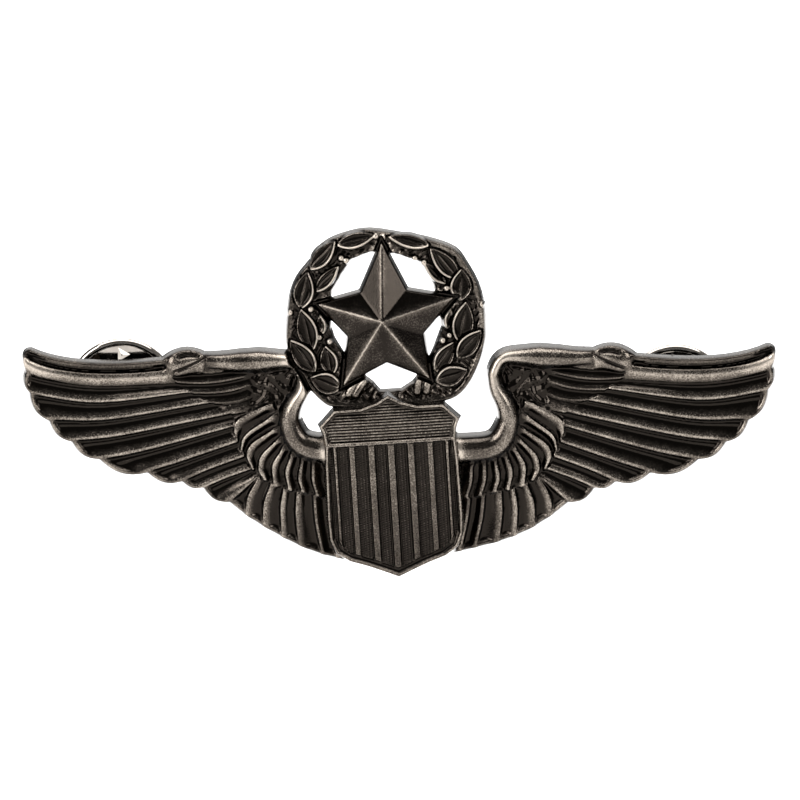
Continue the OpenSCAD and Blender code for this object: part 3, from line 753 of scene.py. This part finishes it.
def build_wreath():
    relief = Relief((-10.4, -0.8), (10.8, 18.1), RING_STEP)
    u, w = relief.x, relief.z
    outer = inside_outline(smooth_line(WREATH_POINTS, 4, closed=True), u, w)
    inner = -inside_outline(WREATH_HOLE, u, w)
    outline = np.minimum(outer, inner)
    relief.height[:] = RING_HEIGHT
    # The ring swells to a plain border outside the leaves
    border = 1 - smoothstep(0.5, 1.1, outer)
    relief.height += 0.22 * border
    # A painted highlight: the border is painted lighter towards its top and right
    relief.rub_and_shading += 0.14 * border * smoothstep(4.0, 12.0, w + 0.5 * u) - 0.02 * (1 - border)
    # Small twigs between the leaves
    twigs = np.sin(5.2 * u + 2.4 * np.sin(1.9 * w)) * np.sin(4.6 * w + 1.8 * np.sin(2.3 * u))
    relief.height += 0.14 * twigs * (1 - border)
    for start, end in RIBBON:
        dist, _, _ = along([start, end], u, w)
        fold = np.clip(1 - (dist / 0.4) ** 2, 0, 1) ** 0.5
        relief.height = np.maximum(relief.height, np.where(fold > 0, 1.2 + 0.3 * fold, 0))
        relief.rub_and_shading = np.where(fold > 0, -0.08, relief.rub_and_shading)
    for number, (base, tip, half) in enumerate(LEAVES):
        base, tip = np.array(base), np.array(tip)
        length = np.hypot(*(tip - base))
        dx, dz = (tip - base) / length
        p = ((u - base[0]) * dx + (w - base[1]) * dz) / length
        q = (w - base[1]) * dx - (u - base[0]) * dz
        swell = np.clip(np.sin(np.pi * np.clip(p, 0, 1) ** 0.85), 0, 1) ** 0.82
        width = np.maximum(1.22 * half * swell, 1e-4)
        e = np.abs(q) / width
        within = (p > 0) & (p < 1) & (e < 1.0)
        moat = (p > -0.02) & (p < 1.02) & (np.abs(q) < width + 0.09)
        edge = width - np.abs(q)
        # One side of the rim is thick and the other thin, and the blade is a hollow with a midrib
        thick_side = 1 if number % 2 else -1
        lean = smoothstep(-0.12, 0.12, q * thick_side)
        rim = np.exp(-(((edge - 0.14 - 0.08 * lean) / (0.1 + 0.07 * lean)) ** 2)) * (0.55 + 0.45 * lean)
        ribs = np.exp(-(((q - 0.05 * np.sin(7 * p)) / 0.09) ** 2))
        ribs *= smoothstep(0.0, 0.1, p) * smoothstep(0.0, 0.3, 1 - p)
        blade = LEAF_HEIGHT + 0.48 * rim + 0.16 * ribs + 0.16 * (1 - p) + 0.1 * e * lean
        relief.height = np.where(moat, np.minimum(relief.height, 1.1), relief.height)
        relief.height = np.where(within, blade, relief.height)
        relief.rub_and_shading = np.where(within, 0.2 * rim + 0.06 * ribs - 0.14, np.where(moat, -0.15, relief.rub_and_shading))
        outline = np.maximum(outline, np.where((p > 0) & (p < 1), edge, -1))
    for bx, bz in BERRIES:
        d = np.hypot(u - bx, w - bz)
        ball = 1.45 + np.sqrt(np.clip(BERRY_RADIUS**2 - d**2, 0, None))
        relief.height = np.where(d < BERRY_RADIUS, np.maximum(relief.height, ball), relief.height)
        outline = np.maximum(outline, BERRY_RADIUS - d)
    relief.soften(0.045)
    # A groove round the star, whose arms rise out of it
    star_side = inside_outline(star_outline(), u, w)
    groove = smoothstep(-0.3, -0.02, star_side)
    relief.height = relief.height * (1 - groove) + RING_GROOVE * groove
    relief.rub_and_shading -= 0.15 * groove
    star_gap = STAR_TUCK - star_side
    shield_gap = SHIELD_TUCK - inside_outline(shield_outline(), u, w)
    cut = np.minimum(star_gap, shield_gap)
    return relief_mesh(
        "wreath_casting", relief, outline, cut, run=0.35, lean=DEVICE_LEAN, foot=DEVICE_FOOT
    )


def build_star():
    relief = Relief((-8.2, 0.6), (8.6, 17.2), RING_STEP)
    outline = inside_outline(star_outline(), relief.x, relief.z)
    corners = star_outline()
    apex = np.array(STAR_MIDDLE) + STAR_APEX
    rx, rz = relief.x - apex[0], relief.z - apex[1]
    # Ten flat facets fall from the apex to the star's edge. The upper arm's two are painted darker: painted
    # shade
    share = np.zeros(rx.shape)
    facet_rub_and_shade = np.full(rx.shape, -0.11)
    for number, (a, b) in enumerate(zip(corners - apex, np.roll(corners, -1, axis=0) - apex)):
        area = a[0] * b[1] - a[1] * b[0]
        along_a = (rx * b[1] - rz * b[0]) / area
        along_b = (a[0] * rz - a[1] * rx) / area
        here = (along_a >= 0) & (along_b >= 0)
        share = np.where(here, along_a + along_b, share)
        # Painted shade on the upper arm's two facets
        if number in (0, 9):
            facet_rub_and_shade = np.where(here, -0.26, facet_rub_and_shade)
    relief.height = STAR_EDGE + (STAR_PEAK - STAR_EDGE) * (1 - share)
    sharp = relief.height.copy()
    relief.soften(0.1)
    ridge = np.clip((sharp - relief.height) / 0.05, -1, 1)
    relief.rub_and_shading = facet_rub_and_shade + 0.45 * np.clip(ridge, 0, 1)
    return relief_mesh("star_casting", relief, outline, run=0.3, lean=DEVICE_LEAN, foot=DEVICE_FOOT)


# ---- Materials ----


def new_material(name):
    material = bpy.data.materials.new(name)
    material.use_nodes = True
    nodes, links = material.node_tree.nodes, material.node_tree.links
    return material, nodes, links, nodes["Principled BSDF"]


def noise(nodes, links, coordinates, scale, detail):
    node = nodes.new("ShaderNodeTexNoise")
    node.inputs["Scale"].default_value = scale
    node.inputs["Detail"].default_value = detail
    links.new(coordinates, node.inputs["Vector"])
    return node.outputs["Fac"]


def remap(nodes, links, value, from_low, from_high, to_low=0.0, to_high=1.0):
    node = nodes.new("ShaderNodeMapRange")
    node.inputs["From Min"].default_value = from_low
    node.inputs["From Max"].default_value = from_high
    node.inputs["To Min"].default_value = to_low
    node.inputs["To Max"].default_value = to_high
    links.new(value, node.inputs["Value"])
    return node.outputs["Result"]


def add_values(nodes, links, first, second):
    node = nodes.new("ShaderNodeMath")
    node.operation = "ADD"
    links.new(first, node.inputs[0])
    links.new(second, node.inputs[1])
    return node.outputs["Value"]


def mix_colour(nodes, links, factor, first, second):
    node = nodes.new("ShaderNodeMix")
    node.data_type = "RGBA"
    links.new(factor, node.inputs["Factor"])
    for socket, value in zip((node.inputs[6], node.inputs[7]), (first, second)):
        if isinstance(value, tuple):
            socket.default_value = (*value, 1.0)
        else:
            links.new(value, socket)
    return node.outputs[2]


BLACKENED = (0.0110, 0.0092, 0.0077)
TARNISHED = (0.072, 0.061, 0.051)
POLISHED = (0.34, 0.297, 0.252)


def antique_silver(name):
    """Blackened silver plate, worn back on its crests: dark and glossy low down, pale and grainy on top.
    Painted light and shade come through the same colours.
    """
    material, nodes, links, shader = new_material(name)
    place = nodes.new("ShaderNodeTexCoord").outputs["Object"]
    # This attribute carries painted light and shade along with the wear
    worn = nodes.new("ShaderNodeAttribute")
    worn.attribute_name = "wear_and_shading"
    blotches = noise(nodes, links, place, 420, 4.0)
    grain = noise(nodes, links, place, 7500, 2.0)
    uneven = remap(nodes, links, blotches, 0.3, 0.7, -0.07, 0.07)
    speckle = remap(nodes, links, grain, 0.3, 0.7, -0.15, 0.15)
    rubbed_and_shaded = add_values(nodes, links, worn.outputs["Fac"], uneven)
    rubbed_and_shaded = add_values(nodes, links, rubbed_and_shaded, speckle)
    body = remap(nodes, links, rubbed_and_shaded, 0.34, 0.66)
    crest = remap(nodes, links, rubbed_and_shaded, 0.62, 1.0)
    colour = mix_colour(nodes, links, body, BLACKENED, TARNISHED)
    colour = mix_colour(nodes, links, crest, colour, POLISHED)
    links.new(colour, shader.inputs["Base Color"])
    shader.inputs["Metallic"].default_value = 1.0
    smear = noise(nodes, links, place, 900, 3.0)
    rough = remap(nodes, links, smear, 0.3, 0.7, 0.07, 0.13)
    rough = add_values(nodes, links, rough, remap(nodes, links, rubbed_and_shaded, 0.4, 0.8, 0.0, 0.24))
    links.new(rough, shader.inputs["Roughness"])
    bump = nodes.new("ShaderNodeBump")
    bump.inputs["Strength"].default_value = 0.35
    bump.inputs["Distance"].default_value = 0.00003
    links.new(add_values(nodes, links, grain, blotches), bump.inputs["Height"])
    links.new(bump.outputs["Normal"], shader.inputs["Normal"])
    return material


def plated(name, colour, rough_low, rough_high, grain_scale=5000, bump_strength=0.1):
    """Smooth plated metal with faint handling marks."""
    material, nodes, links, shader = new_material(name)
    place = nodes.new("ShaderNodeTexCoord").outputs["Object"]
    smear = noise(nodes, links, place, 700, 4.0)
    grain = noise(nodes, links, place, grain_scale, 2.0)
    darker = tuple(c * 0.72 for c in colour)
    mixed = mix_colour(nodes, links, remap(nodes, links, smear, 0.35, 0.65), darker, colour)
    links.new(mixed, shader.inputs["Base Color"])
    shader.inputs["Metallic"].default_value = 1.0
    links.new(remap(nodes, links, smear, 0.3, 0.7, rough_low, rough_high), shader.inputs["Roughness"])
    bump = nodes.new("ShaderNodeBump")
    bump.inputs["Strength"].default_value = bump_strength
    bump.inputs["Distance"].default_value = 0.00002
    links.new(grain, bump.inputs["Height"])
    links.new(bump.outputs["Normal"], shader.inputs["Normal"])
    return material


# ---- Assembly ----


def dress(piece, node):
    """Silvers a casting and puts it in the place of its CAD node."""
    piece.data.materials.append(silver)
    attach(piece, "badge")
    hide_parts(node)


silver = antique_silver("antique_silver")
dress(build_wings(), "wings")
dress(build_shield(), "shield")
dress(build_wreath(), "laurel_wreath")
dress(build_star(), "star")

steel = plated("post_steel", (0.55, 0.54, 0.52), 0.18, 0.32)
solder = plated("tin_solder", (0.42, 0.42, 0.41), 0.35, 0.55, 3000, 0.3)
nickel = plated("black_nickel", (0.33, 0.30, 0.27), 0.06, 0.14)
spring = plated("spring_nickel", (0.36, 0.33, 0.30), 0.12, 0.25)
for side in ("left", "right"):
    for part, material in (
        ("pin_post", steel), ("solder_ring", solder), ("clutch_plate", nickel), ("clutch_cap", nickel),
        ("spring_seat", spring), ("spring_arm_a", spring), ("spring_arm_b", spring),
    ):
        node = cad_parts[f"{side}_{part}"]
        for slot in node.material_slots:
            slot.link = "OBJECT"
            slot.material = material

# ---- Stage, light and camera ----

FRAME_WIDTH = 80.85 * MM
CAMERA_DISTANCE = 0.9
CAMERA_ELEVATION = 8.0
CAMERA_TARGET = Vector((0.0001, 0, 0))
SENSOR = 36.0
FLOOR_Z = -0.045
SKY_STRENGTH = 0.32


def add_area(name, place, size, power, aim=(0, 0, 0)):
    data = bpy.data.lights.new(name, "AREA")
    data.shape = "RECTANGLE"
    data.size, data.size_y = size
    data.energy = power
    light = bpy.data.objects.new(name, data)
    light.location = place
    light.rotation_euler = (Vector(aim) - Vector(place)).to_track_quat("-Z", "Y").to_euler()
    bpy.context.scene.collection.objects.link(light)
    return light


def add_floor(height):
    mesh = bpy.data.meshes.new("floor")
    reach = 6.0
    mesh.from_pydata(
        [(-reach, -reach, height), (reach, -reach, height), (reach, reach, height), (-reach, reach, height)],
        [], [(0, 1, 2, 3)],
    )
    floor = bpy.data.objects.new("floor", mesh)
    material, _, _, shader = new_material("floor_paper")
    shader.inputs["Base Color"].default_value = (0.92, 0.92, 0.92, 1)
    shader.inputs["Roughness"].default_value = 0.9
    mesh.materials.append(material)
    bpy.context.scene.collection.objects.link(floor)


def add_camera():
    data = bpy.data.cameras.new("camera")
    data.sensor_width = SENSOR
    elevation = math.radians(CAMERA_ELEVATION)
    data.lens = SENSOR * CAMERA_DISTANCE / FRAME_WIDTH
    data.clip_end = 20
    camera = bpy.data.objects.new("camera", data)
    away = Vector((0, -math.cos(elevation), math.sin(elevation)))
    camera.location = CAMERA_TARGET + away * CAMERA_DISTANCE
    camera.rotation_euler = (-away).to_track_quat("-Z", "Y").to_euler()
    bpy.context.scene.collection.objects.link(camera)
    bpy.context.scene.camera = camera


def add_world():
    """A sky that lights the metal dimly, but that the camera sees as white."""
    world = bpy.data.worlds.new("studio")
    world.use_nodes = True
    nodes, links = world.node_tree.nodes, world.node_tree.links
    background = nodes["Background"]
    background.inputs["Color"].default_value = (1, 1, 1, 1)
    background.inputs["Strength"].default_value = SKY_STRENGTH
    seen = nodes.new("ShaderNodeBackground")
    seen.inputs["Color"].default_value = (1, 1, 1, 1)
    seen.inputs["Strength"].default_value = 1.0
    ray = nodes.new("ShaderNodeLightPath")
    mix = nodes.new("ShaderNodeMixShader")
    links.new(ray.outputs["Is Camera Ray"], mix.inputs["Fac"])
    links.new(background.outputs["Background"], mix.inputs[1])
    links.new(seen.outputs["Background"], mix.inputs[2])
    links.new(mix.outputs["Shader"], nodes["World Output"].inputs["Surface"])
    bpy.context.scene.world = world


add_floor(FLOOR_Z)
add_world()
add_camera()
add_area("top_softbox", (0.0, -0.05, 0.55), (0.7, 0.35), 5)
add_area("left_softbox", (-0.45, -0.35, 0.25), (0.3, 0.4), 5)
add_area("right_softbox", (0.5, -0.3, 0.3), (0.2, 0.3), 2.5)
wash = add_area("floor_wash", (0.0, 1.1, 0.8), (2.0, 0.8), 34, (0, 0.5, 0))
wash.visible_glossy = False
add_area("rear_softbox", (0.0, 0.9, 0.7), (1.6, 0.8), 6)

bpy.context.scene.view_settings.view_transform = "Standard"
